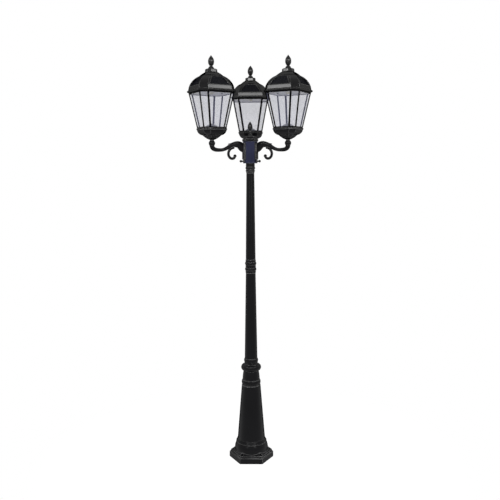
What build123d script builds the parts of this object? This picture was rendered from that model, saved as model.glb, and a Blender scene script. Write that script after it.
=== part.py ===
from build123d import *
import os
from math import copysign, cos, hypot, radians, sin, sqrt, tan

# Lamp post with three lanterns on scrolled arms. Millimetres, +Z up.
# The origin is on the ground, on the axis of the post; the front is -Y.
os.makedirs("parts", exist_ok=True)

# ---------------------------------------------------------------- clearances
seat_gap = 0.1  # between fixed pieces that slip into each other, each side
part_gap = 0.3  # under pieces that lift off or turn
turn_gap = 0.05  # around pins that turn or slide in their holes

# ---------------------------------------------------------------- base casting
foot_corner_radius = 126.0
foot_block_height = 33.0
foot_chamfer = 2.5
foot_band_inset = 7.0
foot_band_height = 9.0
foot_slope_foot_inset = 8.0
foot_slope_inset = 28.0
foot_slope_height = 12.0
anchor_count = 6
anchor_circle_radius = 106.0
anchor_hole_radius = 5.5
anchor_pocket_radius = 9.5
anchor_pocket_depth = 19.0  # below the top of the foot
bell_foot_radius = 95.0
bell_neck_radius = 85.0
bell_height = 42.0
bell_hollow = 3.0  # how far the bell's flare curves in
ledge_radius = 87.0
ledge_chamfer = 2.0
ledge_rim_height = 2.0
ledge_height = 20.0
body_foot_radius = 78.3
body_top_radius = 53.2
body_height = 313.0
shoulder_groove_radius = 50.5
shoulder_groove_height = 5.0
shoulder_bead_radius = 53.8
shoulder_bead_height = 26.0
neck_foot_radius = 48.5
neck_top_radius = 42.5
neck_height = 53.0
neck_hollow = 1.5
knop_radius = 56.5  # the big half-round ring
knop_height = 37.0
lip_waist_radius = 37.4
lip_waist_height = 11.0
lip_bead_radius = 40.0
lip_height = 22.0
base_wall = 6.0
pole_socket_depth = 62.0
pole_socket_wall = 6.2

# ---------------------------------------------------------------- poles
pole_wall = 3.0
lower_pole_foot_radius = 35.8
lower_pole_top_radius = 27.4
lower_pole_length = 489.0
upper_pole_foot_radius = 27.2
upper_pole_top_radius = 21.8
upper_pole_length = 478.0

# ---------------------------------------------------------------- couplings
coupling_bore_wall = 5.0
coupling_spigot_length = 40.0
lower_coupling_height = 76.0
lower_coupling_lip = 7.0
lower_bead_middle = 38.0  # above the bottom of the coupling
lower_bead_height = 16.0
lower_bead_spacing = 32.0
lower_bead_rise = 3.0  # beyond the lips of the coupling
lower_lip_rise = 1.4  # lips beyond the poles
upper_coupling_height = 53.0
upper_coupling_lip = 5.0
upper_bead_middle = 20.0  # above the bottom of the coupling
upper_bead_height = 10.0
upper_bead_spacing = 15.0
upper_bead_rise = 2.6
upper_lip_rise = 1.2
hub_seat_radius = 24.5
hub_spigot_radius = 19.0
hub_spigot_length = 24.0

# ---------------------------------------------------------------- hub
hub_blank_width = 45.0
hub_arm_width = 34.5
hub_height = 118.0
hub_wall = 5.0
hub_floor = 28.0
hub_edge_round = 2.5
cap_band_rise = 3.6  # how far the cap's band stands out of the hub
cap_band_height = 13.0
cap_band_round = 3.0
cap_slope_height = 14.0
cap_slope_inset = 8.0
cap_lip_depth = 8.0
cap_lip_wall = 3.0
hub_bud_foot_radius = 13.0
hub_bud_bead_radius = 9.0
hub_bud_waist_radius = 5.8
hub_bud_radius = 13.2
hub_bud_foot_height = 16.0
hub_bud_bead_height = 10.0
hub_bud_waist_height = 6.0
hub_bud_belly_height = 16.0  # from the waist up to the widest place
hub_bud_tip_height = 32.0
hub_bud_bow = 1.8  # how far the foot curves in
bud_point_radius = 0.8
bud_swell_slope = 1.0
bud_close_slope = 1.5
bud_pin_radius = 3.5
bud_pin_length = 8.0

# ---------------------------------------------------------------- thumb screws
screw_level = 11.0  # above the bottom of the hub
screw_radius = 3.0
screw_head_radius = 6.0
screw_head_length = 6.0
screw_neck_radius = 4.4
screw_ball_radius = 6.8
screw_reach = 65.5  # from the post's axis to the screw's tip

# ---------------------------------------------------------------- arms
arm_reach = 232.0  # from the post's axis to the lantern's axis
arm_sides = ("rear", "left", "right")
rear_turn = 90.0
plate_width = 30.0
plate_thickness = 8.0
plate_bottom_level = 20.0  # above the bottom of the hub
plate_top_level = 108.0
plate_round = 3.0
root_level = 84.0  # above the bottom of the hub
crest_out = 47.0  # from the hub's face
crest_level = 101.5
trough_in = 47.0  # from the lantern's axis
trough_level = 70.0
end_level = 95.0
root_half_height = 28.0
root_half_width = 10.0
crest_half_height = 17.0
crest_half_width = 9.0
middle_half_height = 10.5
middle_half_width = 8.0
trough_half_height = 9.3
trough_half_width = 8.0
end_radius = 13.0
ball_radius = 17.0
ball_level = 104.5
seat_level = 117.0  # flat top of the ball, where the lantern stands
scroll_share = 0.165  # of the way from the crest to the trough, where the scroll leaves
scroll_drop = 16.5  # from the arm's middle down to the scroll's start
scroll_start_radius = 39.0
scroll_end_radius = 12.0
scroll_start_turn = 97.0
scroll_sweep = 249.0
scroll_steps = 8
scroll_radius = 7.0
scroll_ball_radius = 8.7
leaf_share = 0.33  # of the way from the crest to the trough
leaf_rise = 8.0  # above the arm's middle
leaf_length = 16.0
leaf_radius = 6.0
leaf_tip_radius = 2.4
bolt_radius = 3.0
bolt_head_radius = 5.0
bolt_head_length = 4.0
bolt_in_plate = 6.0
bolt_lower_level = 40.0
bolt_upper_level = 96.0

# ---------------------------------------------------------------- lantern stems
stem_radius = 4.8
stem_in_ball = 18.0
stem_nut_radius = 9.0
stem_nut_height = 5.0

# ---------------------------------------------------------------- lantern pan
pan_height = 65.0
pan_rim_width = 139.0
pan_rim_height = 8.0
pan_rim_inset = 2.0
pan_turn_drop = 28.0  # from the rim's foot down to where the bowl turns inwards
pan_turn_half_width = 42.5
pan_bulge = 6.5
pan_inner_bulge = 3.5
pan_hollow = 2.5
pan_neck_height = 5.0
pan_neck_radius = 10.5
pan_floor = 16.0
pan_wall = 3.5
pan_corner_reach = 1.13  # corner faces' distance from the axis over wide faces'
pan_ledge_width = 8.0
pan_ledge_height = 8.0

# ---------------------------------------------------------------- lantern cage and panes
cage_foot_width = 130.0
cage_foot_flat = 78.5  # width of a wide face
cage_top_width = 201.0
cage_top_flat = 134.0
cage_wall = 4.0
cage_foot_depth = 6.0  # how far the cage stands in the pan
cage_height = 190.0
cage_bottom_rail = 12.0
cage_top_rail = 6.0
bar_half_width = 3.6
pane_thickness = 2.0
pane_cover = 0.9  # how far a pane reaches behind the bars

# ---------------------------------------------------------------- reflector
tray_thickness = 2.5
cone_radius = 44.0
cone_height = 27.0
cone_tip_radius = 7.0
cone_tip_flat = 3.5
cone_tip_rise = 1.75
cone_hollow = 4.0

# ---------------------------------------------------------------- roof
roof_corner_reach = 1.18
eave_overhang = 8.0  # beyond the cage, on each side
eave_height = 11.5
skirt_overhang = 2.0  # beyond the cage, on each side
skirt_lean = 3.0  # how far each side comes in on its way up
skirt_height = 18.0
dome_height = 56.0  # from the skirt up to where the outline turns
dome_top_width = 106.0
dome_bulge = 8.5
crown_seat_rise = 18.5  # above the top of the dome
crown_seat_hollow = 1.2
roof_thickness = 7.5  # behind the flat panels
roof_ledge = 3.0  # the ceiling's seat
panel_start = 3.0  # above the foot of the dome
panel_rise = 46.0
panel_foot_inset = 41.5  # from the dome's sides to a panel's foot corners
panel_top_inset = 27.0  # from the dome's sides to a panel's top corners
panel_thickness = 3.0
panel_sink = 0.5  # how far a panel lies under the dome's edge

# ---------------------------------------------------------------- ceiling and electrics
ceiling_thickness = 3.0
ceiling_cover = 2.0  # how far the ceiling and the eave reach over the cage
ceiling_lip_depth = 4.0
ceiling_lip_wall = 3.0
module_radius = 15.0
module_thickness = 3.0
lens_radius = 8.0
lens_depth = 6.0
lens_round = 3.0
battery_length = 96.0
battery_width = 62.0
battery_height = 28.0
battery_round = 5.0
switch_in = 62.0  # from the lantern's axis towards the post
switch_length = 8.0
switch_width = 6.0
switch_drop = 3.0  # below the ceiling
switch_flange = 2.0
switch_flange_thickness = 1.6
switch_travel = 5.0
switch_round = 1.0

# ---------------------------------------------------------------- crown and finial
crown_corner_reach = 1.04
crown_foot_width = 60.0
crown_width = 57.5
crown_height = 17.0
crown_rim = 4.0
crown_rim_bulge = 1.1
crown_dish_depth = 5.0
crown_dish_radius = 22.5
crown_dish_floor_radius = 19.5
bud_flare_radius = 18.5
bud_neck_radius = 6.8
bud_radius = 15.8
bud_flare_height = 20.0
bud_belly_height = 23.0
bud_tip_height = 32.0
bud_bow = 2.4

# ---------------------------------------------------------------- levels up the post
foot_height = foot_block_height + foot_band_height + foot_slope_height
ledge_level = foot_height + bell_height
body_level = ledge_level + ledge_height
shoulder_level = body_level + body_height
bead_level = shoulder_level + shoulder_groove_height
neck_level = bead_level + shoulder_bead_height
knop_level = neck_level + neck_height
lip_level = knop_level + knop_height
base_top = lip_level + lip_waist_height + lip_height
lower_coupling_bottom = base_top + lower_pole_length
lower_coupling_top = lower_coupling_bottom + lower_coupling_height
upper_coupling_bottom = lower_coupling_top + upper_pole_length
hub_bottom = upper_coupling_bottom + upper_coupling_height
hub_top = hub_bottom + hub_height
cap_top = hub_top + cap_band_height + cap_slope_height

# The hub has three blank faces and three that carry the arms.
arm_spacing = 360 / len(arm_sides)
arm_turns = {side: rear_turn + arm_spacing * place for place, side in enumerate(arm_sides)}
hub_side = hub_blank_width + 2 * hub_arm_width
blank_face_distance = hub_side / (2 * sqrt(3))
arm_face_distance = hub_side / sqrt(3) - hub_arm_width * sqrt(3) / 2
blank_turns = [turn + 180 for turn in arm_turns.values()]

# ---------------------------------------------------------------- levels up a lantern
# A lantern is drawn with its axis on Z and one wide face towards +X, away from the post.
pan_bottom = hub_bottom + seat_level
pan_top = pan_bottom + pan_height
cage_bottom = pan_top - cage_foot_depth
cage_top = cage_bottom + cage_height
eave_bottom = cage_top + part_gap
ceiling_top = eave_bottom + ceiling_thickness
skirt_bottom = eave_bottom + eave_height
dome_bottom = skirt_bottom + skirt_height
dome_top = dome_bottom + dome_height
crown_bottom = dome_top + crown_seat_rise
crown_top = crown_bottom + crown_height
# How much each half of an eight-sided section's face narrows as a wall goes in.
octagon_share = tan(radians(180 / 8))
# The roof stands out over the cage, and the panels lie within the roof's sides.
eave_width = cage_top_width + 2 * eave_overhang
skirt_width = cage_top_width + 2 * skirt_overhang
skirt_top_width = skirt_width - 2 * skirt_lean
panel_foot_width = skirt_top_width - 2 * panel_foot_inset
panel_top_width = dome_top_width - 2 * panel_top_inset


def write(builder, name):
    """Label a finished piece and write it to its own file."""
    builder.part.label = name
    export_step(builder.part, f"parts/{name}.step")


def on_each_arm(builder, name, reach=0.0):
    """Write one piece for each arm, turned to the arm and moved out along it."""
    for side, turn in arm_turns.items():
        with BuildPart(Plane.XY.rotated((0, 0, turn))) as placed:
            with Locations((reach, 0, 0)):
                add(builder.part)
        write(placed, f"{name}_{side}")


def turned(outline, mode=Mode.ADD, axis=Axis.Z):
    """Turn a closed outline about an axis."""
    with BuildSketch(Plane.XZ) as profile:
        with BuildLine():
            outline()
        make_face()
    revolve(profile.sketch, axis=axis, mode=mode)


def bead(radius, swell, low, high):
    """Half-round moulding on an outline, from one level to another."""
    ThreePointArc((radius, low), (swell, (low + high) / 2), (radius, high))


def bowed(start, end, bow):
    """Arc between two points of an outline that bows away from the axis by a distance."""
    across = end[0] - start[0]
    up = end[1] - start[1]
    share = copysign(bow / hypot(across, up), up)
    middle = ((start[0] + end[0]) / 2 + share * up, (start[1] + end[1]) / 2 - share * across)
    ThreePointArc(start, middle, end)


def facing(turn, distance=0.0, level=0.0):
    """Plane that faces away from the axis; its x runs sideways and its y up."""
    outward = Vector(1, 0, 0).rotate(Axis.Z, turn)
    sideways = Vector(0, 1, 0).rotate(Axis.Z, turn)
    return Plane(origin=outward * distance + Vector(0, 0, level), x_dir=sideways, z_dir=outward)


def upright(turn):
    """Plane through the axis; its x runs outwards at a turn and its y up."""
    outward = Vector(1, 0, 0).rotate(Axis.Z, turn)
    return Plane(origin=(0, 0, 0), x_dir=outward, z_dir=outward.rotate(Axis.Z, -90))


def on_axis(level):
    """Location on the axis at a level."""
    return Locations((0, 0, level))


upwards = (Align.CENTER, Align.CENTER, Align.MIN)
downwards = (Align.CENTER, Align.CENTER, Align.MAX)


# ================================================================ base casting
def base_outline():
    """Outside of the casting from the foot up, closed along the axis."""
    bell_start = (bell_foot_radius, foot_height)
    bell_end = (bell_neck_radius, ledge_level)
    Polyline((0, foot_block_height), (bell_foot_radius, foot_block_height), bell_start)
    bowed(bell_start, bell_end, -bell_hollow)
    Polyline(
        bell_end,
        (ledge_radius, ledge_level + ledge_chamfer),
        (ledge_radius, ledge_level + ledge_chamfer + ledge_rim_height),
        (body_foot_radius, body_level),
        (body_top_radius, shoulder_level),
        (shoulder_groove_radius, shoulder_level),
        (shoulder_groove_radius, bead_level),
    )
    bead(shoulder_groove_radius, shoulder_bead_radius, bead_level, neck_level)
    Line((shoulder_groove_radius, neck_level), (neck_foot_radius, neck_level))
    bowed((neck_foot_radius, neck_level), (neck_top_radius, knop_level), -neck_hollow)
    bead(neck_top_radius, knop_radius, knop_level, lip_level)
    waist_top = lip_level + lip_waist_height
    Polyline((neck_top_radius, lip_level), (lip_waist_radius, lip_level), (lip_waist_radius, waist_top))
    bead(lip_waist_radius, lip_bead_radius, waist_top, base_top)
    Polyline((lip_waist_radius, base_top), (0, base_top), (0, foot_block_height))


pole_socket_radius = lip_waist_radius - pole_socket_wall
pole_socket_bottom = base_top - pole_socket_depth


def base_hollow():
    """Inside of the casting: wide under the foot, a socket for the pole at the top."""
    Polyline(
        (0, 0),
        (bell_neck_radius - base_wall, 0),
        (body_foot_radius - base_wall, body_level),
        (body_top_radius - base_wall, shoulder_level),
        (neck_top_radius - base_wall, neck_level),
        (pole_socket_radius, pole_socket_bottom),
        (pole_socket_radius, base_top),
        (0, base_top),
        (0, 0),
    )


slope_level = foot_block_height + foot_band_height

with BuildPart() as base_casting:
    with BuildSketch():
        RegularPolygon(foot_corner_radius, 6)
    extrude(amount=foot_block_height)
    chamfer(base_casting.faces().sort_by(Axis.Z)[-1].edges(), foot_chamfer)
    with BuildSketch(Plane.XY.offset(foot_block_height)):
        RegularPolygon(foot_corner_radius - foot_band_inset, 6)
    extrude(amount=foot_band_height)
    with BuildSketch(Plane.XY.offset(slope_level)):
        RegularPolygon(foot_corner_radius - foot_slope_foot_inset, 6)
    with BuildSketch(Plane.XY.offset(foot_height)):
        RegularPolygon(foot_corner_radius - foot_slope_inset, 6)
    loft(ruled=True)
    turned(base_outline)
    turned(base_hollow, mode=Mode.SUBTRACT)
    with on_axis(foot_height):
        with PolarLocations(anchor_circle_radius, anchor_count):
            CounterBoreHole(anchor_hole_radius, anchor_pocket_radius, anchor_pocket_depth)
write(base_casting, "base_casting")

# ================================================================ poles and couplings
pole_spigot_radius = pole_socket_radius - seat_gap

with BuildPart() as lower_pole:
    with BuildSketch(Plane.XZ):
        with BuildLine():
            Polyline(
                (pole_spigot_radius - pole_wall, pole_socket_bottom + seat_gap),
                (pole_spigot_radius, pole_socket_bottom + seat_gap),
                (pole_spigot_radius, base_top),
                (lower_pole_foot_radius, base_top),
                (lower_pole_top_radius, lower_coupling_bottom),
                (lower_pole_top_radius - pole_wall, lower_coupling_bottom),
                (pole_spigot_radius - pole_wall, base_top + pole_wall),
                close=True,
            )
        make_face()
    revolve(axis=Axis.Z)
write(lower_pole, "lower_pole")

with BuildPart() as upper_pole:
    with BuildSketch(Plane.XZ):
        with BuildLine():
            Polyline(
                (upper_pole_foot_radius - pole_wall, lower_coupling_top),
                (upper_pole_foot_radius, lower_coupling_top),
                (upper_pole_top_radius, upper_coupling_bottom),
                (upper_pole_top_radius - pole_wall, upper_coupling_bottom),
                close=True,
            )
        make_face()
    revolve(axis=Axis.Z)
write(upper_pole, "upper_pole")

# A spigot fits the narrowest part of the tapered bore that it stands in.
lower_pole_bore = lower_pole_top_radius - pole_wall
upper_pole_taper = (upper_pole_foot_radius - upper_pole_top_radius) / upper_pole_length
upper_pole_foot_bore = upper_pole_foot_radius - pole_wall - upper_pole_taper * coupling_spigot_length
upper_pole_top_bore = upper_pole_top_radius - pole_wall


def moulded_sleeve(bottom, height, lip, low, high, middle, bead_height, spacing, bead_rise, lip_rise):
    """Outline of a coupling: a lip at each end and two half-round beads about a middle level."""
    top = bottom + height
    low_lip = low + lip_rise
    high_lip = high + lip_rise
    low_bead = middle - spacing / 2
    high_bead = middle + spacing / 2
    half = bead_height / 2
    Polyline((0, bottom), (low, bottom), (low_lip, bottom + lip / 2), (low_lip, low_bead - half))
    bead(low_lip, low_lip + bead_rise, low_bead - half, low_bead + half)
    Line((low_lip, low_bead + half), (high_lip, high_bead - half))
    bead(high_lip, high_lip + bead_rise, high_bead - half, high_bead + half)
    Polyline((high_lip, high_bead + half), (high_lip, top - lip / 2), (high, top), (0, top), (0, bottom))


with BuildPart() as lower_coupling:
    turned(
        lambda: moulded_sleeve(
            lower_coupling_bottom,
            lower_coupling_height,
            lower_coupling_lip,
            lower_pole_top_radius,
            upper_pole_foot_radius,
            lower_coupling_bottom + lower_bead_middle,
            lower_bead_height,
            lower_bead_spacing,
            lower_bead_rise,
            lower_lip_rise,
        )
    )
    with on_axis(lower_coupling_bottom):
        Cylinder(lower_pole_bore - seat_gap, coupling_spigot_length, align=downwards)
    with on_axis(lower_coupling_top):
        Cylinder(upper_pole_foot_bore - seat_gap, coupling_spigot_length, align=upwards)
    with on_axis(lower_coupling_bottom):
        Hole(upper_pole_foot_bore - coupling_bore_wall)
write(lower_coupling, "lower_coupling")

with BuildPart() as upper_coupling:
    turned(
        lambda: moulded_sleeve(
            upper_coupling_bottom,
            upper_coupling_height,
            upper_coupling_lip,
            upper_pole_top_radius,
            hub_seat_radius - upper_lip_rise,
            upper_coupling_bottom + upper_bead_middle,
            upper_bead_height,
            upper_bead_spacing,
            upper_bead_rise,
            upper_lip_rise,
        )
    )
    with on_axis(upper_coupling_bottom):
        Cylinder(upper_pole_top_bore - seat_gap, coupling_spigot_length, align=downwards)
    with on_axis(hub_bottom):
        Cylinder(hub_spigot_radius, hub_spigot_length, align=upwards)
    with on_axis(upper_coupling_bottom):
        Hole(upper_pole_top_bore - coupling_bore_wall)
write(upper_coupling, "upper_coupling")

# ================================================================ hub


def hub_section(grow=0.0):
    """Triangle with cut corners: three blank sides and three sides for the arms."""
    distance = blank_face_distance + grow
    half = hub_blank_width / 2 + grow * tan(radians(30))
    corners = []
    for turn in sorted(angle % 360 for angle in blank_turns):
        for side in (-half, half):
            corners.append(Vector(distance, side).rotate(Axis.Z, turn))
    Polygon(*corners, align=None)


with BuildPart() as hub_body:
    with BuildSketch(Plane.XY.offset(hub_bottom)) as hub_plan:
        hub_section()
        fillet(hub_plan.vertices(), hub_edge_round)
    extrude(amount=hub_height)
    with BuildSketch(Plane.XY.offset(hub_bottom + hub_floor)):
        hub_section(-hub_wall)
    extrude(amount=hub_height - hub_floor, mode=Mode.SUBTRACT)
    with on_axis(hub_bottom):
        Cylinder(hub_spigot_radius + seat_gap, hub_floor, align=upwards, mode=Mode.SUBTRACT)
    for turn in arm_turns.values():
        with BuildSketch(facing(turn, level=hub_bottom)) as holes:
            with Locations((0, screw_level)):
                Circle(screw_radius + turn_gap)
            with Locations((0, bolt_lower_level), (0, bolt_upper_level)):
                Circle(bolt_radius + seat_gap)
        extrude(amount=hub_side, mode=Mode.SUBTRACT)
write(hub_body, "hub_body")

cap_hollow_top = hub_top + cap_band_height

with BuildPart() as hub_cap:
    with BuildSketch(Plane.XY.offset(hub_top)):
        hub_section(cap_band_rise)
    extrude(amount=cap_band_height)
    band_edges = hub_cap.edges().filter_by(Axis.Z, reverse=True)
    fillet(band_edges, cap_band_round)
    with BuildSketch(Plane.XY.offset(cap_hollow_top)):
        hub_section()
    with BuildSketch(Plane.XY.offset(cap_top)):
        hub_section(-cap_slope_inset)
    loft(ruled=True)
    with BuildSketch(Plane.XY.offset(hub_top - cap_lip_depth)):
        hub_section(-hub_wall - seat_gap)
    extrude(amount=cap_lip_depth)
    with BuildSketch(Plane.XY.offset(hub_top - cap_lip_depth)):
        hub_section(-hub_wall - seat_gap - cap_lip_wall)
    extrude(amount=cap_lip_depth + cap_band_height - cap_lip_wall, mode=Mode.SUBTRACT)
    with on_axis(cap_top):
        Cylinder(
            bud_pin_radius + turn_gap,
            bud_pin_length + part_gap,
            align=downwards,
            mode=Mode.SUBTRACT,
        )
write(hub_cap, "hub_cap")


def pointed_bud(waist_radius, waist_level, radius, widest, top):
    """Outline of a bud: swelling from its waist and drawn in to a blunt point."""
    Spline((waist_radius, waist_level), (radius, widest), tangents=[(1, bud_swell_slope), (0, 1)])
    Spline((radius, widest), (bud_point_radius, top), tangents=[(0, 1), (-1, bud_close_slope)])
    Line((bud_point_radius, top), (0, top))


hub_bud_bottom = cap_top + part_gap
hub_bud_foot_top = hub_bud_bottom + hub_bud_foot_height
hub_bud_bead_top = hub_bud_foot_top + hub_bud_bead_height
hub_bud_waist_top = hub_bud_bead_top + hub_bud_waist_height
hub_bud_widest = hub_bud_waist_top + hub_bud_belly_height
hub_bud_top = hub_bud_widest + hub_bud_tip_height


def hub_bud_outline():
    """Spreading foot, bead, waist and pointed bud, on a pin."""
    Polyline(
        (0, hub_bud_bottom - bud_pin_length),
        (bud_pin_radius, hub_bud_bottom - bud_pin_length),
        (bud_pin_radius, hub_bud_bottom),
        (hub_bud_foot_radius, hub_bud_bottom),
    )
    bowed((hub_bud_foot_radius, hub_bud_bottom), (hub_bud_waist_radius, hub_bud_foot_top), -hub_bud_bow)
    bead(hub_bud_waist_radius, hub_bud_bead_radius, hub_bud_foot_top, hub_bud_bead_top)
    Line((hub_bud_waist_radius, hub_bud_bead_top), (hub_bud_waist_radius, hub_bud_waist_top))
    pointed_bud(hub_bud_waist_radius, hub_bud_waist_top, hub_bud_radius, hub_bud_widest, hub_bud_top)
    Line((0, hub_bud_top), (0, hub_bud_bottom - bud_pin_length))


with BuildPart() as hub_finial:
    turned(hub_bud_outline)
write(hub_finial, "hub_finial")

# ================================================================ thumb screws
screw_axis = Axis((0, 0, hub_bottom + screw_level), (1, 0, 0))
screw_end = hub_spigot_radius + part_gap
screw_head_start = arm_face_distance + part_gap
screw_neck_start = screw_head_start + screw_head_length


def screw_outline():
    """Upper half of the screw: shank, round head, neck and ball."""
    axis_level = hub_bottom + screw_level
    Polyline(
        (screw_end, axis_level),
        (screw_end, axis_level + screw_radius),
        (screw_head_start, axis_level + screw_radius),
        (screw_head_start, axis_level + screw_head_radius),
        (screw_neck_start, axis_level + screw_head_radius),
        (screw_neck_start, axis_level + screw_neck_radius),
        (screw_reach - screw_ball_radius, axis_level + screw_neck_radius),
        (screw_reach - screw_ball_radius, axis_level),
        (screw_end, axis_level),
    )


with BuildPart() as thumb_screw:
    turned(screw_outline, axis=screw_axis)
    with Locations((screw_reach - screw_ball_radius, 0, hub_bottom + screw_level)):
        Sphere(screw_ball_radius)
on_each_arm(thumb_screw, "thumb_screw")

# ================================================================ arms
# An arm is drawn along +X, from the hub's face to the lantern's axis.


def arm_spine():
    """Way of the arm's middle: up from the plate, over a crest, down a trough, up to the ball."""
    root = (arm_face_distance, hub_bottom + root_level)
    crest = (arm_face_distance + crest_out, hub_bottom + crest_level)
    trough = (arm_reach - trough_in, hub_bottom + trough_level)
    end = (arm_reach, hub_bottom + end_level)
    rise = Spline(root, crest, tangents=[(1, 0), (1, 0)])
    fall = Spline(crest, trough, tangents=[(1, 0), (1, 0)])
    turn_up = Spline(trough, end, tangents=[(1, 0), (0, 1)])
    return rise, fall, turn_up


def oval(edge, share, half_height, half_width):
    """Section of the arm at a share of one stretch of its way."""
    with BuildSketch(Plane(edge @ share, x_dir=(0, 1, 0), z_dir=edge % share)) as section:
        Ellipse(half_width, half_height)
    return section.sketch


def scroll_way(parting):
    """Way of the scroll's middle: a spiral from under the arm's middle that turns back under the crest."""
    arms = []
    for step in range(scroll_steps + 1):
        share = step / scroll_steps
        angle = radians(scroll_start_turn - scroll_sweep * share)
        radius = scroll_start_radius + (scroll_end_radius - scroll_start_radius) * share
        arms.append(Vector(cos(angle), 0, sin(angle)) * radius)
    middle = parting - Vector(0, 0, scroll_drop) - arms[0]
    return Spline(*(middle + arm for arm in arms))


plate_middle = (plate_bottom_level + plate_top_level) / 2
ball_height = hub_bottom + ball_level
seat_height = hub_bottom + seat_level

with BuildPart() as arm:
    with BuildSketch(facing(0, arm_face_distance, hub_bottom + plate_middle)) as plate:
        Rectangle(plate_width, plate_top_level - plate_bottom_level)
        fillet(plate.vertices(), plate_round)
    extrude(amount=plate_thickness)
    chamfer(arm.faces().sort_by(Axis.X)[-1].edges(), plate_round)
    with Locations((arm_reach, 0, ball_height)):
        Sphere(ball_radius)
    split(bisect_by=Plane.XY.offset(seat_height), keep=Keep.BOTTOM)
    with BuildLine(Plane.XZ):
        rise, fall, turn_up = arm_spine()
    crest_oval = oval(fall, 0, crest_half_height, crest_half_width)
    trough_oval = oval(fall, 1, trough_half_height, trough_half_width)
    root_oval = oval(rise, 0, root_half_height, root_half_width)
    sweep([root_oval, crest_oval], path=rise, multisection=True)
    middle_oval = oval(fall, 0.5, middle_half_height, middle_half_width)
    sweep([crest_oval, middle_oval, trough_oval], path=fall, multisection=True)
    end_oval = oval(turn_up, 1, end_radius, end_radius)
    sweep([trough_oval, end_oval], path=turn_up, multisection=True)
    with BuildLine(Plane.XZ):
        curl = scroll_way(fall @ scroll_share)
    with BuildSketch(Plane(curl @ 0, z_dir=curl % 0)):
        Circle(scroll_radius)
    sweep(path=curl)
    with Locations(curl @ 1):
        Sphere(scroll_ball_radius)
    leaf_foot = fall @ leaf_share + Vector(0, 0, leaf_rise)
    with Locations(Plane(leaf_foot, z_dir=(1, 0, 0))):
        Cone(leaf_radius, leaf_tip_radius, leaf_length, align=upwards)
    with Locations(leaf_foot + Vector(leaf_length, 0, 0)):
        Sphere(leaf_tip_radius)
    with Locations((arm_reach, 0, seat_height)):
        Cylinder(stem_radius + seat_gap, stem_in_ball, align=downwards, mode=Mode.SUBTRACT)
    with BuildSketch(facing(0, arm_face_distance, hub_bottom)):
        with Locations((0, bolt_lower_level), (0, bolt_upper_level)):
            Circle(bolt_radius + seat_gap)
    extrude(amount=bolt_in_plate + seat_gap, mode=Mode.SUBTRACT)
    split(bisect_by=facing(0, arm_face_distance), keep=Keep.TOP)
on_each_arm(arm, "arm")

# Bolts pass from inside the hub into the arms' plates.
hub_inner_face = arm_face_distance - hub_wall

with BuildPart() as arm_bolts:
    for turn in arm_turns.values():
        for level in (bolt_lower_level, bolt_upper_level):
            with Locations(facing(turn, hub_inner_face, hub_bottom + level)):
                Cylinder(bolt_head_radius, bolt_head_length, align=downwards)
                Cylinder(bolt_radius, hub_wall + bolt_in_plate, align=upwards)
write(arm_bolts, "arm_bolts")

# ================================================================ lantern
pan_floor_top = pan_bottom + pan_floor

with BuildPart() as stem:
    with on_axis(seat_height - stem_in_ball + seat_gap):
        Cylinder(stem_radius, stem_in_ball - seat_gap + pan_floor + stem_nut_height, align=upwards)
    with BuildSketch(Plane.XY.offset(pan_floor_top)):
        RegularPolygon(stem_nut_radius, 6)
    extrude(amount=stem_nut_height)
on_each_arm(stem, "stem", arm_reach)


def eight_sided(outline, corner_reach):
    """Solid whose wide faces follow an outline, and whose corner faces follow it drawn wider."""
    with BuildPart() as form:
        for turn in range(0, 180, 45):
            reach = corner_reach if turn % 90 else 1.0
            with BuildSketch(upright(turn)):
                with BuildLine() as half:
                    outline(reach)
                    mirror(half.line, about=Plane.YZ)
                make_face()
            extrude(amount=eave_width, both=True, mode=Mode.INTERSECT if turn else Mode.ADD)
    return form.part


# The cage is an eight-sided frustum, so every size of it is found from its level.


def cage_share(level):
    """How far up the cage a level is, from 0 at its foot to 1 at its top."""
    return (level - cage_bottom) / cage_height


def wide_face(level):
    """Half of a wide face's width, and its distance from the axis, at a level."""
    share = cage_share(level)
    width = cage_foot_width + (cage_top_width - cage_foot_width) * share
    flat = cage_foot_flat + (cage_top_flat - cage_foot_flat) * share
    return flat / 2, width / 2


def corner_face(level):
    """Half of a corner face's width, and its distance from the axis, at a level."""
    half_flat, distance = wide_face(level)
    return (distance - half_flat) / sqrt(2), (distance + half_flat) / sqrt(2)


def cage_section(level, inset=0.0):
    """Square with cut corners: the cage's section at a level, its faces moved in by an inset."""
    half_flat, distance = wide_face(level)
    reach = distance - inset
    with BuildSketch() as section:
        Rectangle(2 * reach, 2 * reach)
        chamfer(section.vertices(), reach - half_flat + inset * octagon_share)
    add(section.sketch)


def pan_outside(reach):
    """Rim, bulging bowl and hollow neck, from the top down."""
    rim = pan_rim_width / 2 * reach
    rim_bottom = pan_top - pan_rim_height
    turn_level = rim_bottom - pan_turn_drop
    turn_width = pan_turn_half_width * reach
    Polyline((0, pan_top), (rim, pan_top), (rim, rim_bottom), (rim - pan_rim_inset, rim_bottom))
    bowed((rim - pan_rim_inset, rim_bottom), (turn_width, turn_level), pan_bulge)
    neck = (pan_neck_radius, pan_bottom + pan_neck_height)
    bowed((turn_width, turn_level), neck, -pan_hollow)
    Line(neck, (0, neck[1]))


def pan_inside(reach):
    """Bowl's hollow under the ledge."""
    ledge = (cage_foot_width / 2 - pan_ledge_width) * reach
    ledge_bottom = cage_bottom - pan_ledge_height
    turn_level = pan_top - pan_rim_height - pan_turn_drop + pan_wall
    turn_width = (pan_turn_half_width - pan_wall) * reach
    Polyline((0, cage_bottom), (ledge, cage_bottom), (ledge, ledge_bottom))
    bowed((ledge, ledge_bottom), (turn_width, turn_level), pan_inner_bulge)
    Polyline((turn_width, turn_level), (stem_nut_radius + pan_wall, pan_floor_top), (0, pan_floor_top))


pan_bowl = eight_sided(pan_outside, pan_corner_reach)
pan_hollow_space = eight_sided(pan_inside, pan_corner_reach)

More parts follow.
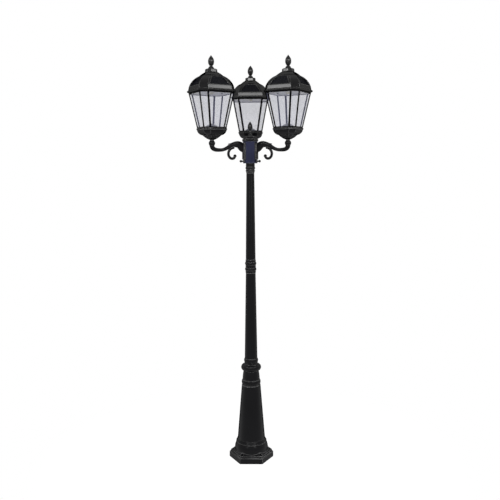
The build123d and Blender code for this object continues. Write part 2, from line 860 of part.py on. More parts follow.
with BuildPart() as lantern_pan:
    add(pan_bowl)
    with on_axis(pan_bottom):
        Cylinder(pan_neck_radius, pan_floor, align=upwards)
    add(pan_hollow_space, mode=Mode.SUBTRACT)
    for level in (cage_bottom, pan_top):
        with BuildSketch(Plane.XY.offset(level)):
            cage_section(level, -seat_gap)
    loft(ruled=True, mode=Mode.SUBTRACT)
    with on_axis(pan_bottom):
        Hole(stem_radius + seat_gap)
on_each_arm(lantern_pan, "lantern_pan", arm_reach)

window_bottom = cage_bottom + cage_bottom_rail
window_top = cage_top - cage_top_rail
face_turns = [(turn, corner_face if turn % 90 else wide_face) for turn in range(0, 360, 45)]

with BuildPart() as lantern_cage:
    for wall, mode in ((0.0, Mode.ADD), (cage_wall, Mode.SUBTRACT)):
        for level in (cage_bottom, cage_top):
            with BuildSketch(Plane.XY.offset(level)):
                cage_section(level, wall)
        loft(ruled=True, mode=mode)
    for turn, face in face_turns:
        low = face(window_bottom)[0] - bar_half_width
        high = face(window_top)[0] - bar_half_width
        with BuildSketch(facing(turn)):
            Polygon(
                (-low, window_bottom),
                (low, window_bottom),
                (high, window_top),
                (-high, window_top),
                align=None,
            )
        extrude(amount=cage_top_width, mode=Mode.SUBTRACT)
on_each_arm(lantern_cage, "lantern_cage", arm_reach)


def pane(turn, face):
    """Flat pane that leans against the inside of a window's bars."""
    pane_bottom = window_bottom - pane_cover
    pane_top = window_top + pane_cover
    back = cage_wall + seat_gap
    low_half, low_distance = face(pane_bottom)
    high_half, high_distance = face(pane_top)
    low_half += pane_cover - bar_half_width
    high_half += pane_cover - bar_half_width
    lean = Vector(1, 0, 0).rotate(Axis.Z, turn) * (high_distance - low_distance)
    up = lean + Vector(0, 0, pane_top - pane_bottom)
    sideways = Vector(0, 1, 0).rotate(Axis.Z, turn)
    origin = Vector(low_distance - back, 0, pane_bottom).rotate(Axis.Z, turn)
    with BuildPart() as plate:
        with BuildSketch(Plane(origin=origin, x_dir=sideways, z_dir=sideways.cross(up))):
            Polygon(
                (-low_half, 0),
                (low_half, 0),
                (high_half, up.length),
                (-high_half, up.length),
                align=None,
            )
        extrude(amount=-pane_thickness)
    return plate.part


for name, faces in (("wide_panes", face_turns[::2]), ("corner_panes", face_turns[1::2])):
    with BuildPart() as panes:
        add([pane(turn, face) for turn, face in faces])
    on_each_arm(panes, name, arm_reach)

# ---------------------------------------------------------------- reflector
tray_top = cage_bottom + tray_thickness
cone_top = tray_top + cone_height


def cone_outline():
    """Cone with hollow sides and a blunt tip."""
    Line((0, cage_bottom), (cone_radius, cage_bottom))
    Line((cone_radius, cage_bottom), (cone_radius, tray_top))
    bowed((cone_radius, tray_top), (cone_tip_radius, cone_top), -cone_hollow)
    Polyline(
        (cone_tip_radius, cone_top),
        (cone_tip_flat, cone_top + cone_tip_rise),
        (0, cone_top + cone_tip_rise),
        (0, cage_bottom),
    )


with BuildPart() as reflector:
    with BuildSketch(Plane.XY.offset(cage_bottom)):
        cage_section(cage_bottom, cage_wall + seat_gap)
    extrude(amount=tray_thickness)
    turned(cone_outline)
on_each_arm(reflector, "reflector", arm_reach)

# ---------------------------------------------------------------- roof
crown_seat_half = crown_foot_width / 2


def roof_outside(reach):
    """Beaded eave, steep skirt, bulging dome and a neck under the crown."""
    skirt = skirt_width / 2 * reach
    skirt_top = skirt_top_width / 2 * reach
    turn = dome_top_width / 2 * reach
    crown_seat = crown_seat_half * reach
    Line((0, eave_bottom), (skirt, eave_bottom))
    bead(skirt, skirt + (eave_width - skirt_width) / 2, eave_bottom, skirt_bottom)
    Line((skirt, skirt_bottom), (skirt_top, dome_bottom))
    bowed((skirt_top, dome_bottom), (turn, dome_top), dome_bulge)
    bowed((turn, dome_top), (crown_seat, crown_bottom), -crown_seat_hollow)
    Line((crown_seat, crown_bottom), (0, crown_bottom))


# The flat panels lie along the dome's chord, from panel_start up.
dome_run = (skirt_top_width - dome_top_width) / 2


def dome_half_width(level):
    """Half width of the dome at a level, where its outline is an arc."""
    chord = hypot(dome_run, dome_height)
    radius = (chord**2 / 4 + dome_bulge**2) / (2 * dome_bulge)
    middle_width = (skirt_top_width + dome_top_width) / 4
    middle_level = (dome_bottom + dome_top) / 2
    back = radius - dome_bulge
    centre_width = middle_width - back * dome_height / chord
    centre_level = middle_level - back * dome_run / chord
    return centre_width + sqrt(radius**2 - (level - centre_level) ** 2)


panel_low_level = dome_bottom + panel_start
panel_high_level = panel_low_level + panel_rise
panel_low_width = dome_half_width(panel_low_level)
panel_high_width = dome_half_width(panel_high_level)
panel_length = hypot(panel_low_width - panel_high_width, panel_rise)
panel_lean_in = (panel_low_width - panel_high_width) / panel_length  # per length up the panel
panel_lean_up = panel_rise / panel_length


def panel_plane(turn, depth):
    """Plane of a wide face's panel, at a depth below the dome's chord; its y runs up the slope."""
    sideways = Vector(0, 1, 0).rotate(Axis.Z, turn)
    normal = Vector(panel_lean_up, 0, panel_lean_in).rotate(Axis.Z, turn)
    foot = Vector(panel_low_width, 0, panel_low_level).rotate(Axis.Z, turn)
    return Plane(origin=foot - normal * depth, x_dir=sideways, z_dir=normal)


def panel_shape(grow=0.0):
    """Outline of a panel, wide at its foot."""
    low = panel_foot_width / 2 + grow
    high = panel_top_width / 2 + grow
    Polygon(
        (-low, -grow),
        (low, -grow),
        (high, panel_length + grow),
        (-high, panel_length + grow),
        align=None,
    )


def roof_inside(reach):
    """Hollow above the ceiling, parallel to the panels and closed under the crown."""
    ledge = (cage_top_width / 2 - ceiling_cover - roof_ledge) * reach
    low = (panel_low_width - roof_thickness * panel_lean_up) * reach
    high = (panel_high_width - roof_thickness * panel_lean_up) * reach
    low_level = panel_low_level - roof_thickness * panel_lean_in
    high_level = panel_high_level - roof_thickness * panel_lean_in
    top = (crown_seat_half - roof_thickness) * reach
    Polyline(
        (0, ceiling_top),
        (ledge, ceiling_top),
        (low, low_level),
        (high, high_level),
        (top, crown_bottom - roof_thickness),
        (0, crown_bottom - roof_thickness),
    )


roof_form = eight_sided(roof_outside, roof_corner_reach)
roof_hollow = eight_sided(roof_inside, roof_corner_reach)

with BuildPart() as roof:
    add(roof_form)
    add(roof_hollow, mode=Mode.SUBTRACT)
    with BuildSketch(Plane.XY.offset(eave_bottom)):
        cage_section(cage_top, ceiling_cover - seat_gap)
    extrude(amount=ceiling_thickness, mode=Mode.SUBTRACT)
    for turn in range(0, 360, 90):
        with BuildSketch(panel_plane(turn, panel_sink + panel_thickness)):
            panel_shape(seat_gap)
        extrude(amount=crown_foot_width / 2, mode=Mode.SUBTRACT)
on_each_arm(roof, "roof", arm_reach)

with BuildPart() as solar_panels:
    for turn in range(0, 360, 90):
        with BuildSketch(panel_plane(turn, panel_sink + panel_thickness)):
            panel_shape()
        extrude(amount=panel_thickness)
on_each_arm(solar_panels, "solar_panels", arm_reach)

# ---------------------------------------------------------------- ceiling and electrics
lip_bottom = eave_bottom - ceiling_lip_depth
lip_inset = cage_wall + part_gap
slot_length = switch_length + switch_travel + 2 * part_gap
slot_middle = -switch_in + switch_travel / 2

with BuildPart() as ceiling:
    with BuildSketch(Plane.XY.offset(eave_bottom)):
        cage_section(cage_top, ceiling_cover)
    extrude(amount=ceiling_thickness)
    for inset, mode in ((lip_inset, Mode.ADD), (lip_inset + ceiling_lip_wall, Mode.SUBTRACT)):
        with BuildSketch(Plane.XY.offset(lip_bottom)):
            cage_section(lip_bottom, inset)
        extrude(amount=ceiling_lip_depth, mode=mode)
    with BuildSketch(Plane.XY.offset(ceiling_top)):
        with Locations((slot_middle, 0)):
            Rectangle(slot_length, switch_width + 2 * part_gap)
    extrude(amount=-ceiling_thickness, mode=Mode.SUBTRACT)
on_each_arm(ceiling, "ceiling", arm_reach)

with BuildPart() as light_module:
    with on_axis(eave_bottom):
        Cylinder(module_radius, module_thickness, align=downwards)
    with on_axis(eave_bottom - module_thickness):
        Cylinder(lens_radius, lens_depth, align=downwards)
    fillet(light_module.faces().sort_by(Axis.Z)[0].edges(), lens_round)
on_each_arm(light_module, "light_module", arm_reach)

with BuildPart() as battery_case:
    with on_axis(ceiling_top):
        Box(battery_width, battery_length, battery_height, align=upwards)
    fillet(battery_case.edges().filter_by(Axis.Z), battery_round)
on_each_arm(battery_case, "battery_case", arm_reach)

flange_bottom = ceiling_top + part_gap

with BuildPart() as power_switch:
    with Locations((-switch_in, 0, flange_bottom)):
        Box(
            switch_length + 2 * switch_flange,
            switch_width + 2 * switch_flange,
            switch_flange_thickness,
            align=upwards,
        )
        Box(switch_length, switch_width, ceiling_thickness + part_gap + switch_drop, align=downwards)
    fillet(power_switch.faces().sort_by(Axis.Z)[0].edges(), switch_round)
on_each_arm(power_switch, "power_switch", arm_reach)

# ---------------------------------------------------------------- crown and finial
bud_bottom = crown_top - crown_dish_depth + part_gap
bud_waist = bud_bottom + bud_flare_height
bud_widest = bud_waist + bud_belly_height
bud_top = bud_widest + bud_tip_height


def crown_outside(reach):
    """Block that narrows a little upwards, with a rounded rim."""
    foot = crown_seat_half * reach
    top = crown_width / 2 * reach
    rim_level = crown_top - crown_rim
    Polyline((0, crown_bottom), (foot, crown_bottom), (top, rim_level))
    bowed((top, rim_level), (top - crown_rim, crown_top), crown_rim_bulge)
    Line((top - crown_rim, crown_top), (0, crown_top))


crown_form = eight_sided(crown_outside, crown_corner_reach)

with BuildPart() as roof_crown:
    add(crown_form)
    with on_axis(crown_top):
        Cone(
            crown_dish_floor_radius,
            crown_dish_radius,
            crown_dish_depth,
            align=downwards,
            mode=Mode.SUBTRACT,
        )
    with on_axis(crown_top - crown_dish_depth):
        Cylinder(
            bud_pin_radius + turn_gap,
            bud_pin_length,
            align=downwards,
            mode=Mode.SUBTRACT,
        )
on_each_arm(roof_crown, "roof_crown", arm_reach)


def finial_outline():
    """Spreading foot, waist and flame-like bud, on a pin."""
    pin_bottom = bud_bottom - bud_pin_length
    flare_edge = bud_bottom + bud_point_radius
    Polyline(
        (0, pin_bottom),
        (bud_pin_radius, pin_bottom),
        (bud_pin_radius, bud_bottom),
        (bud_flare_radius - bud_point_radius, bud_bottom),
        (bud_flare_radius - bud_point_radius, flare_edge),
    )
    bowed((bud_flare_radius - bud_point_radius, flare_edge), (bud_neck_radius, bud_waist), -bud_bow)
    pointed_bud(bud_neck_radius, bud_waist, bud_radius, bud_widest, bud_top)
    Line((0, bud_top), (0, pin_bottom))


with BuildPart() as finial:
    turned(finial_outline)
on_each_arm(finial, "finial", arm_reach)
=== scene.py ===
from math import cos, pi, radians, sin

import bpy
import numpy as np
from mathutils import Matrix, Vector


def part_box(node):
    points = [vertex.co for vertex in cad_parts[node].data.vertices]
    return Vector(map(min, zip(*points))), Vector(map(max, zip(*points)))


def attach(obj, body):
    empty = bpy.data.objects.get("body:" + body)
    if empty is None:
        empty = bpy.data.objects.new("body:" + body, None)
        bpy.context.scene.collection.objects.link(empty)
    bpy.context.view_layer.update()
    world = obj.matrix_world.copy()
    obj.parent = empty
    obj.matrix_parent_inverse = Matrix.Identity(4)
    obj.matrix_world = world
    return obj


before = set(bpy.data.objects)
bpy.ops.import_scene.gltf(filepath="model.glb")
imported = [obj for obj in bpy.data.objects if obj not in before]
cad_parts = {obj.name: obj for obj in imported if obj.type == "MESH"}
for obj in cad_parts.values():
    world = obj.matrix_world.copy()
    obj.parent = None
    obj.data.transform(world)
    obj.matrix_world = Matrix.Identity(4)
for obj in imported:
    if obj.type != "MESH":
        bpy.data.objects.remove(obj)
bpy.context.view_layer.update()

# Lamp post with three lanterns on scrolled arms, in metres, +Z up, the front towards -Y.

# ---------------------------------------------------------------- places
arm_reach = 0.232  # from the post's axis to a lantern's axis
arm_turns = {"left": 210, "right": 330, "rear": 90}  # degrees from +X towards +Y

# ---------------------------------------------------------------- cells' films
film_lift = 0.00012  # above the solar panel that carries the film
film_rows = 9
film_columns = 13
cell_width = 0.0195
cell_border = 0.003  # of a panel, without cells
finger_pitch = 0.0024
finger_from = 0.44  # of a pitch from the middle between two fingers, where a finger begins
gap_from = 0.485  # of a cell's width from its middle, where the gap to the next one begins
bus_half = 0.022  # half a bus bar's width, of the distance from one to the next

# ---------------------------------------------------------------- bars of a lantern
cage_foot = (0.130, 0.0785)  # width over the wide faces, and width of one of them
cage_top = (0.201, 0.134)
strip_leg = 0.0052  # of a cover strip, to each side of the bar's corner
strip_thickness = 0.0008
strip_round = 0.0002  # radius of its edges
strip_foot = 0.0068  # above the cage's foot, clear of the pan's rim
strip_head = 0.0002  # below the cage's top

# ---------------------------------------------------------------- paint
edge_round = 0.003  # radius that the enamel gives to the castings' edges
edge_lean = (0.012, 0.05)  # 1 - cosine of an edge's lean, where the paler edge colour (enamel wear and painted highlight) begins and where it is full
slant = (0.35, 0.8)  # how far a surface turns away, where its gloss begins to fade and where it ends
edge_wear_and_highlight_casting = (0.22, 0.22, 0.22)  # colours of the paler edges of castings, roofs and bars: enamel wear, and a painted highlight along the edges
edge_wear_and_highlight_roof = (0.14, 0.14, 0.14)
edge_wear_and_highlight_bar = (0.012, 0.012, 0.012)
bar_black = (0.0012, 0.0012, 0.0014)

# ---------------------------------------------------------------- camera
camera_place = (0.0438, -3.617, 1.637)
camera_turn = radians(0.75)  # to the left of straight ahead
camera_tilt = radians(90 - 6.88)
camera_roll = radians(-0.24)
camera_focal = 47.11  # millimetres, as is the sensor's width
camera_sensor = 36.0

# ---------------------------------------------------------------- light
white_light = (1, 1, 1, 1)
sky_glow = 0.33  # strength at which the world lights surfaces; seen or mirrored it is 1
floor_radius = 4.0
floor_rings = 13
floor_turns = 97
floor_colour = (0.72, 0.72, 0.72)
floor_glow = 0.62  # added to the floor where it is seen or mirrored, so that it looks white
floor_fade_start = 0.35  # distance from the post at which the floor begins to turn plain white
floor_fade_length = 0.9


# ================================================================ shader arithmetic
class Varying:
    """A socket of a material. Arithmetic on it adds the Math nodes that work it out."""

    def __init__(self, finish, socket):
        self.finish = finish
        self.socket = socket

    def math(self, operation, *values):
        """A Math node on these values."""
        return self.finish.node("ShaderNodeMath", {"operation": operation}, *values)

    def __add__(self, other):
        return self.math("ADD", self, other)

    def __radd__(self, other):
        return self.math("ADD", other, self)

    def __sub__(self, other):
        return self.math("SUBTRACT", self, other)

    def __rsub__(self, other):
        return self.math("SUBTRACT", other, self)

    def __mul__(self, other):
        return self.math("MULTIPLY", self, other)

    def __rmul__(self, other):
        return self.math("MULTIPLY", other, self)

    def __truediv__(self, other):
        return self.math("DIVIDE", self, other)

    def __lt__(self, other):
        return self.math("LESS_THAN", self, other)

    def __gt__(self, other):
        return self.math("GREATER_THAN", self, other)

    def __abs__(self):
        return self.math("ABSOLUTE", self)

    def __mod__(self, other):
        return self.math("FLOORED_MODULO", self, other)

    def __or__(self, other):
        return self.math("MAXIMUM", self, other)

    def ramp(self, low, high):
        """0 below one value and 1 above another, smoothed between them."""
        settings = {"interpolation_type": "SMOOTHSTEP"}
        return self.finish.node("ShaderNodeMapRange", settings, self, low, high)


class Finish:
    """A material, or the world, that is being made of nodes."""

    def __init__(self, name, owner=None):
        self.owner = owner or bpy.data.materials.new(name)
        self.owner.use_nodes = True
        self.tree = self.owner.node_tree
        self.tree.nodes.clear()

    def node(self, kind, settings, *values, output=0, numbered=None, **named):
        """A node of a kind, its settings made first, then the values or links of its sockets.

        The sockets are given in their order, by number or by name.
        """
        made = self.tree.nodes.new(kind)
        for name, value in settings.items():
            setattr(made, name, value)
        sockets = dict(enumerate(values)) | (numbered or {})
        sockets |= {name.replace("_", " "): value for name, value in named.items()}
        for key, value in sockets.items():
            socket = made.inputs[key]
            if isinstance(value, Varying):
                self.tree.links.new(value.socket, socket)
            else:
                socket.default_value = value
        return Varying(self, made.outputs[output])

    def colours(self, share, first, second):
        """Blend from one colour to another by a share.

        The Mix node has its factor at 0, its colours at 6 and 7 and the blended colour at 2.
        """
        first, second = (c if isinstance(c, Varying) else (*c, 1.0) for c in (first, second))
        sockets = {0: share, 6: first, 7: second}
        return self.node("ShaderNodeMix", {"data_type": "RGBA"}, output=2, numbered=sockets)

    def split(self, vector):
        """First two parts of a vector."""
        outputs = self.node("ShaderNodeSeparateXYZ", {}, vector).socket.node.outputs
        return Varying(self, outputs[0]), Varying(self, outputs[1])

    def place(self):
        """Where a point of the surface is, in metres."""
        return self.node("ShaderNodeTexCoord", {}, output="Object")

    def noise(self, place, scale, detail=2.0, roughness=0.5):
        """Cloudy pattern with so many patches to the metre."""
        return self.node(
            "ShaderNodeTexNoise", {}, Vector=place, Scale=scale, Detail=detail, Roughness=roughness
        )

    def bump(self, height, depth, **named):
        """Normal of a surface that a height raises by up to a depth in metres."""
        return self.node("ShaderNodeBump", {}, Height=height, Distance=depth, Strength=1.0, **named)

    def surface(self, **named):
        """Ends the material in a Principled shader with these sockets."""
        return self.end(self.node("ShaderNodeBsdfPrincipled", {}, **named))

    def dulled_at_a_slant(self, gloss, **named):
        """Ends the material in a Principled shader whose gloss fades where the surface turns away."""
        shiny, dull = (
            self.node("ShaderNodeBsdfPrincipled", {}, Specular_IOR_Level=level, **named)
            for level in (gloss, 0.0)
        )
        facing = self.node("ShaderNodeLayerWeight", {}, output="Facing", Blend=0.5)
        return self.end(self.node("ShaderNodeMixShader", {}, facing.ramp(*slant), shiny, dull))

    def end(self, shader, kind="ShaderNodeOutputMaterial"):
        """Leads a shader to the output and gives the material or world."""
        output = self.tree.nodes.new(kind)
        self.tree.links.new(shader.socket, output.inputs["Surface"])
        return self.owner


# ================================================================ finishes
def enamel(name, colour, roughness, gloss, grain=0.00002, edge_wear_and_highlight_colour=edge_wear_and_highlight_casting):
    """Dark outdoor enamel: orange peel of a grain in metres, faint clouds, and edges painted paler, as
    wear and as a painted highlight.

    An edge is where the normal rounded by the Bevel node leans away from the flat one.
    """
    finish = Finish(name)
    place = finish.place()
    clouds = finish.noise(place, scale=9.0, detail=3.0)
    peel = finish.noise(place, scale=900.0)
    pits = finish.noise(place, scale=240.0, detail=3.0, roughness=0.7)
    darker, lighter = ([c * share for c in colour] for share in (0.8, 1.25))
    shade = finish.colours(clouds.ramp(0.3, 0.75), darker, lighter)
    dulled = roughness + 0.12 * (clouds - 0.5) + 0.05 * pits
    height = 0.6 * peel + 0.4 * pits
    rounded = finish.node("ShaderNodeBevel", {"samples": 6}, Radius=edge_round)
    flat = finish.node("ShaderNodeNewGeometry", {}, output="Normal")
    product = {"operation": "DOT_PRODUCT"}
    lean = 1.0 - finish.node("ShaderNodeVectorMath", product, rounded, flat, output="Value")
    patchy = 0.35 + 0.5 * clouds.ramp(0.35, 0.6) + 0.7 * (pits - 0.5)
    # Paler edges: enamel wear, and a painted highlight standing in for the glints that edges catch.
    wear_and_highlight_mask = lean.ramp(*edge_lean) * patchy
    worn_and_highlit = finish.colours(wear_and_highlight_mask, shade, edge_wear_and_highlight_colour)
    bumped = finish.bump(height, depth=grain, Normal=rounded)
    return finish.dulled_at_a_slant(gloss, Base_Color=worn_and_highlit, Roughness=dulled, Normal=bumped)


def window_glass():
    """Clear glass with a cool tint, a faint ripple and a little haze."""
    finish = Finish("window_glass")
    place = finish.place()
    ripple = finish.noise(place, scale=14.0, detail=1.0)
    haze = finish.noise(place, scale=55.0, detail=3.0, roughness=0.6)
    tint = finish.colours(haze.ramp(0.3, 0.7), (0.135, 0.142, 0.235), (0.165, 0.172, 0.265))
    return finish.surface(
        Base_Color=tint,
        Roughness=0.25 + 0.10 * haze,
        Alpha=0.13 + 0.05 * haze,
        Specular_IOR_Level=0.5,
        Normal=finish.bump(ripple, depth=0.0006),
    )


def moulded_plastic(name, colour, roughness):
    """Plastic with the fine matt texture of its mould."""
    finish = Finish(name)
    place = finish.place()
    clouds = finish.noise(place, scale=20.0)
    grain = finish.noise(place, scale=1500.0, detail=1.0)
    shade = finish.colours(clouds, [c * 0.93 for c in colour], colour)
    return finish.surface(
        Base_Color=shade,
        Roughness=roughness + 0.08 * (grain - 0.5),
        Normal=finish.bump(grain, depth=0.00003),
    )


def panel_backing():
    """Dark glossy edge and back of a solar panel."""
    finish = Finish("panel_backing")
    clouds = finish.noise(finish.place(), scale=60.0)
    shade = finish.colours(clouds, (0.006, 0.006, 0.009), (0.011, 0.011, 0.015))
    return finish.surface(Base_Color=shade, Roughness=0.18 + 0.06 * clouds)


def solar_cells():
    """Dark cells under glass: fingers across, bus bars and gaps up the panel, a plain dark border.

    The pattern follows the film's own map in metres: x across the panel, y up its slope, and the
    second map's x as the distance to the nearest edge.
    """
    finish = Finish("solar_cells")
    across, up = finish.split(finish.node("ShaderNodeUVMap", {"uv_map": "weave"}))
    edge, _ = finish.split(finish.node("ShaderNodeUVMap", {"uv_map": "edge"}))
    finger = abs((up / finger_pitch) % 1.0 - 0.5) > finger_from
    gap = abs((across / cell_width) % 1.0 - 0.5) > gap_from
    bus = abs((across / (cell_width / 3)) % 1.0 - 0.5) < bus_half
    rim = edge < cell_border
    lines = (0.03 * finger) | (0.07 * bus) | (0.05 * gap)
    patches = finish.noise(finish.place(), scale=160.0, detail=3.0, roughness=0.6)
    cell = finish.colours(patches, (0.0008, 0.0010, 0.0022), (0.0020, 0.0022, 0.0045))
    lined = finish.colours(lines, cell, (0.30, 0.31, 0.33))
    shade = finish.colours(rim, lined, (0.012, 0.012, 0.013))
    roughness = 0.12 + 0.2 * rim + 0.03 * patches
    return finish.dulled_at_a_slant(gloss=0.05, Base_Color=shade, Roughness=roughness)


def frosted_lens():
    """Milky lens on its board, faintly speckled."""
    finish = Finish("frosted_lens")
    speckle = finish.noise(finish.place(), scale=700.0)
    shade = finish.colours(speckle, (0.70, 0.66, 0.50), (0.86, 0.83, 0.70))
    return finish.surface(
        Base_Color=shade, Roughness=0.3 + 0.1 * speckle, Normal=finish.bump(speckle, depth=0.00005)
    )


def plated_steel():
    """Zinc plate with a soft mottle."""
    finish = Finish("plated_steel")
    mottle = finish.noise(finish.place(), scale=260.0, detail=3.0)
    shade = finish.colours(mottle, (0.42, 0.42, 0.43), (0.62, 0.62, 0.60))
    return finish.surface(Base_Color=shade, Metallic=1.0, Roughness=0.28 + 0.14 * mottle)


# ================================================================ surfaces
def add_object(name, data):
    """Object at the origin that holds a mesh, a lamp or the camera's lens."""
    made = bpy.data.objects.new(name, data)
    bpy.context.scene.collection.objects.link(made)
    return made


def add_piece(name, points, faces, material):
    """Piece whose mesh has these points and faces."""
    mesh = bpy.data.meshes.new(name)
    mesh.from_pydata(points.tolist(), [], faces)
    mesh.materials.append(material)
    return add_object(name, mesh)


def grid_piece(name, points, maps, material):
    """Piece of an array of points, rows by columns by 3, with named maps, rows by columns by 2.

    Each face joins four neighbours in the array.
    """
    rows, columns, _ = points.shape
    index = np.arange(rows * columns).reshape(rows, columns)
    corners = (index[:-1, :-1], index[:-1, 1:], index[1:, 1:], index[1:, :-1])
    faces = np.stack(corners, axis=-1).reshape(-1, 4)
    piece = add_piece(name, points.reshape(-1, 3), faces.tolist(), material)
    for map_name, values in maps.items():
        layer = piece.data.uv_layers.new(name=map_name)
        layer.data.foreach_set("uv", values.reshape(-1, 2)[faces.ravel()].ravel())
    return piece


def corner_points(node):
    """Distinct corners of a CAD node."""
    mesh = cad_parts[node].data
    points = np.empty(3 * len(mesh.vertices))
    mesh.vertices.foreach_get("co", points)
    return np.unique(points.reshape(-1, 3).round(6), axis=0)


def turned_about_z(points, turn):
    """Points turned about the Z axis by degrees."""
    c, s = cos(radians(turn)), sin(radians(turn))
    return points @ np.array([[c, s, 0], [-s, c, 0], [0, 0, 1]])


def lantern_axis(side):
    """Foot of a lantern's axis on the ground."""
    turn = radians(arm_turns[side])
    return arm_reach * np.array([cos(turn), sin(turn), 0])


def film_over_panel(corners):
    """Bilinear sheet over a panel's outer face, with its maps.

    A point is foot + (top - foot) v, each edge being left + (right - left) u, lifted along the
    face's normal. The first map is the metres across and up, the second the metres to an edge.
    """
    wide = np.abs(corners[:, 1]) > np.abs(corners[:, 1]).mean()  # those of the panel's foot
    edges = []
    for edge in (corners[wide], corners[~wide]):
        outer = edge[np.argsort(edge[:, 0])[-2:]]  # the two furthest out, on the outer face
        edges.append(outer[np.argsort(outer[:, 1])])
    u, v = np.meshgrid(np.linspace(0, 1, film_columns), np.linspace(0, 1, film_rows))
    u, v = u[..., None], v[..., None]
    foot, top = (left + (right - left) * u for left, right in edges)
    sheet = foot + (top - foot) * v
    rise = edges[1].mean(axis=0) - edges[0].mean(axis=0)
    slope = np.linalg.norm(rise)
    normal = np.cross([0, 1, 0], rise)
    normal /= np.linalg.norm(normal)
    across = sheet[..., 1]
    up = v[..., 0] * slope
    half = np.abs(across).max(axis=1, keepdims=True)
    to_edge = np.minimum(half - np.abs(across), np.minimum(up, slope - up))
    weave = np.stack([across, up], axis=-1)
    edge_map = np.stack([to_edge, to_edge], axis=-1)
    return sheet + normal * film_lift, weave, edge_map


def cells_on_roof(side, material):
    """Film of cells over the four panels of one roof, each worked out facing +X and turned back."""
    turn, axis = arm_turns[side], lantern_axis(side)
    local = turned_about_z(corner_points(f"solar_panels_{side}") - axis, -turn)
    for quarter in range(4):
        facing = turned_about_z(local, -90 * quarter)
        sheet, weave, edge_map = film_over_panel(facing[facing[:, 0] > np.abs(facing[:, 1])])
        rows, columns, _ = sheet.shape
        placed = turned_about_z(sheet.reshape(-1, 3), 90 * quarter + turn) + axis
        maps = {"weave": weave, "edge": edge_map}
        name = f"cells_{side}_{quarter + 1}"
        piece = grid_piece(name, placed.reshape(rows, columns, 3), maps, material)
        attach(piece, f"roof_{side}")


def eight_corners(width, flat):
    """Corners of a square with cut corners, anticlockwise."""
    near, far = flat / 2, width / 2
    first = np.array([[far, -near, 0], [far, near, 0]])
    return np.concatenate([turned_about_z(first, 90 * quarter) for quarter in range(4)])[:, :2]


def strip_sections(corners):
    """Sections of the strips folded over the corners, corners by six points.

    An inner point is corner + leg (neighbour - corner) / |neighbour - corner|. The outer points
    lie a thickness further out along each face's normal, and at the fold along both.
    """
    after = np.roll(corners, -1, axis=0) - corners
    after /= np.linalg.norm(after, axis=1, keepdims=True)
    before = np.roll(after, 1, axis=0)
    out_after, out_before = (np.c_[along[:, 1], -along[:, 0]] for along in (after, before))
    both = out_after + out_before
    fold = both / (1 + (out_after * out_before).sum(axis=1, keepdims=True))
    inner = (corners - strip_leg * before, corners, corners + strip_leg * after)
    outer = [point + strip_thickness * out for point, out in zip(inner, (out_before, fold, out_after))]
    return np.stack([*outer, *inner[::-1]], axis=1)


def cover_strips(side, material):
    """Folded strips over the bars of one lantern.

    Each is its section at the foot joined by straight lines to its section at the top.
    """
    low, high = (corner[2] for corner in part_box(f"lantern_cage_{side}"))
    levels = np.array([low + strip_foot, high - strip_head])
    shares = (levels - low) / (high - low)
    ends = []
    for level, share in zip(levels, shares):
        width, flat = np.array(cage_foot) + (np.array(cage_top) - np.array(cage_foot)) * share
        section = strip_sections(eight_corners(width, flat))
        ends.append(np.insert(section, 2, level, axis=2))
    by_strip = np.stack(ends, axis=1)
    points = turned_about_z(by_strip.reshape(-1, 3), arm_turns[side])
    index = np.arange(len(points)).reshape(by_strip.shape[:3])
    foot, head = index[:, 0], index[:, 1]
    walls = np.stack([foot, np.roll(foot, -1, axis=1), np.roll(head, -1, axis=1), head], axis=-1)
    faces = [*walls.reshape(-1, 4).tolist(), *foot[:, ::-1].tolist(), *head.tolist()]
    piece = add_piece(f"cover_strips_{side}", points + lantern_axis(side), faces, material)
    rounded = piece.modifiers.new("rounded", "BEVEL")
    rounded.width = strip_round
    rounded.segments = 2
    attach(piece, "post")


# ================================================================ studio
def seen_or_mirrored(finish):
    """1 for what the camera sees, directly, in a mirror or through glass, and 0 for other light."""
    path = finish.node("ShaderNodeLightPath", {}).socket.node.outputs
    camera, glossy, through = (
        Varying(finish, path[name]) for name in ("Is Camera Ray", "Is Glossy Ray", "Is Transmission Ray")
    )
    return camera | glossy | through


def make_sky():
    """White all round, of which only part lights the object."""
    world = bpy.data.worlds.new("sky")
    bpy.context.scene.world = world
    finish = Finish("sky", world)
    strength = seen_or_mirrored(finish) | sky_glow
    glow = finish.node("ShaderNodeBackground", {}, Color=white_light, Strength=strength)
    finish.end(glow, "ShaderNodeOutputWorld")


def make_floor():
    """Round pale floor that keeps the object's shadow and turns plain white further out.

    A point is radius (cos, sin) of its turn, with radii that grow from 0 to the floor's edge.
    """
    turns, radii = np.linspace(0, 2 * pi, floor_turns), np.linspace(0, floor_radius, floor_rings)
    turn, radius = np.meshgrid(turns, radii)
    points = np.stack([radius * np.cos(turn), radius * np.sin(turn), 0 * turn], axis=-1)
    finish = Finish("pale_floor")
    place = finish.place()
    distance = finish.node("ShaderNodeVectorMath", {"operation": "LENGTH"}, place, output="Value")
    speckle = finish.noise(place, scale=40.0)
    shade = finish.colours(speckle, [c * 0.98 for c in floor_colour], floor_colour)
    matt = finish.node("ShaderNodeBsdfDiffuse", {}, Color=shade)
    seen = seen_or_mirrored(finish)
    glow = finish.node("ShaderNodeEmission", {}, Color=white_light, Strength=floor_glow * seen)
    lit = finish.node("ShaderNodeAddShader", {}, matt, glow)
    plain = finish.node("ShaderNodeEmission", {}, Color=white_light, Strength=1.0)
    far = distance.ramp(floor_fade_start, floor_fade_start + floor_fade_length)
    finish.end(finish.node("ShaderNodeMixShader", {}, far * seen, lit, plain))
    floor = grid_piece("floor", points, {}, finish.owner)


def make_softbox(name, place, target, width, height, power):
    """Rectangular lamp of so many watts that faces a point."""
    lamp = bpy.data.lights.new(name, "AREA")
    lamp.shape = "RECTANGLE"
    lamp.size = width
    lamp.size_y = height
    lamp.energy = power
    holder = add_object(name, lamp)
    holder.location = place
    x, y, z = np.array(place) - np.array(target)  # a lamp shines away from its own +Z
    holder.rotation_euler = (np.arctan2(np.hypot(x, y), z), 0, np.arctan2(x, -y))
    return holder


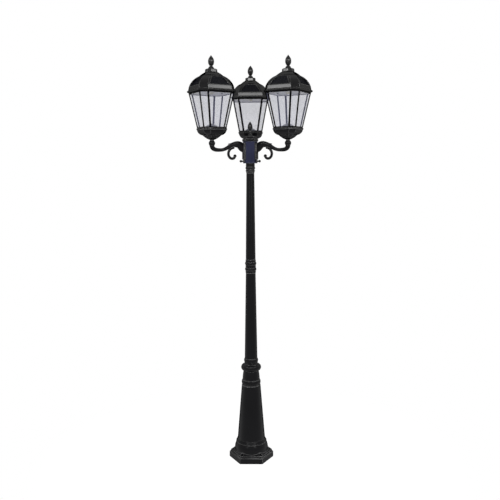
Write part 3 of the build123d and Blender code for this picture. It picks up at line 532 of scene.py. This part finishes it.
def light_studio():
    """A wide key lamp, strips and side lamps that the glossy paint mirrors, and a low bounce."""
    make_softbox("key", place=(0.05, -3.3, 3.5), target=(0, 0, 1.6), width=2.2, height=0.5, power=72)
    sides = {"left": -1, "right": 1}
    for side, sign in sides.items():
        place = (1.7 * sign, -3.0, 2.1)
        make_softbox(f"strip_{side}", place, target=(0, 0, 1.3), width=0.35, height=1.6, power=11)
    for side, sign in sides.items():
        place = (2.5 * sign, -1.6, 3.35)
        make_softbox(f"side_{side}", place, target=(0, 0, 1.8), width=1.1, height=0.4, power=24)
    bounce = make_softbox("bounce", (0, -2.0, 0.1), target=(0, 0, 1.9), width=2.0, height=1.6, power=22)
    bounce.visible_glossy = False  # it stands for light off the floor, so no surface mirrors it


def make_camera():
    """Camera at the photograph's angle."""
    lens = bpy.data.cameras.new("camera")
    lens.lens = camera_focal
    lens.sensor_width = camera_sensor
    camera = add_object("camera", lens)
    camera.location = camera_place
    turned = Matrix.Rotation(camera_turn, 3, "Z") @ Matrix.Rotation(camera_tilt, 3, "X")
    camera.rotation_euler = (turned @ Matrix.Rotation(camera_roll, 3, "Z")).to_euler()
    bpy.context.scene.camera = camera


# ================================================================ the scene
def dress():
    """Gives each CAD node the finish of the longest key that its name begins with, or the post's."""
    post = enamel("post_enamel", (0.0020, 0.0020, 0.0027), roughness=0.22, gloss=0.12, grain=0.00003)
    # Bluer and paler than the post's enamel: a painted reflection of bluish light on the hub's face.
    hub = enamel("hub_enamel", (0.018, 0.020, 0.044), roughness=0.32, gloss=0.06)
    roof_black = (0.0006, 0.0006, 0.0008)
    roof = enamel("lantern_enamel", roof_black, roughness=0.14, gloss=0.18, edge_wear_and_highlight_colour=edge_wear_and_highlight_roof)
    bud = enamel("bud_enamel", (0.0008, 0.0008, 0.0010), roughness=0.14, gloss=0.30)
    bar = enamel("bar_enamel", bar_black, roughness=0.30, gloss=0.03, edge_wear_and_highlight_colour=edge_wear_and_highlight_bar)
    black = moulded_plastic("black_plastic", (0.02, 0.02, 0.02), roughness=0.5)
    glass = window_glass()
    steel = plated_steel()
    finishes = {
        "hub_body": hub,
        "hub_finial": bud,
        "roof": roof,
        "roof_crown": bud,
        "finial": bud,
        "lantern_cage": bar,
        "wide_panes": glass,
        "corner_panes": glass,
        # The reflector's white plastic, painted grey for the shade inside the lantern.
        "reflector": moulded_plastic("reflector_painted_shade", (0.22, 0.22, 0.23), roughness=0.35),
        "ceiling": moulded_plastic("white_plastic", (0.88, 0.88, 0.88), roughness=0.45),
        "light_module": frosted_lens(),
        "battery_case": black,
        "power_switch": black,
        "solar_panels": panel_backing(),
        "stem": steel,
        "arm_bolts": steel,
    }
    for name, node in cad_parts.items():
        kind = max((k for k in finishes if name.startswith(k)), key=len, default=None)
        node.data.materials.clear()
        node.data.materials.append(finishes.get(kind, post))


dress()
strips = enamel("strip_enamel", bar_black, roughness=0.30, gloss=0.03, edge_wear_and_highlight_colour=bar_black)
cells = solar_cells()
for side in arm_turns:
    cells_on_roof(side, cells)
    cover_strips(side, strips)
make_sky()
make_floor()
light_studio()
make_camera()
bpy.context.scene.view_settings.view_transform = "Standard"
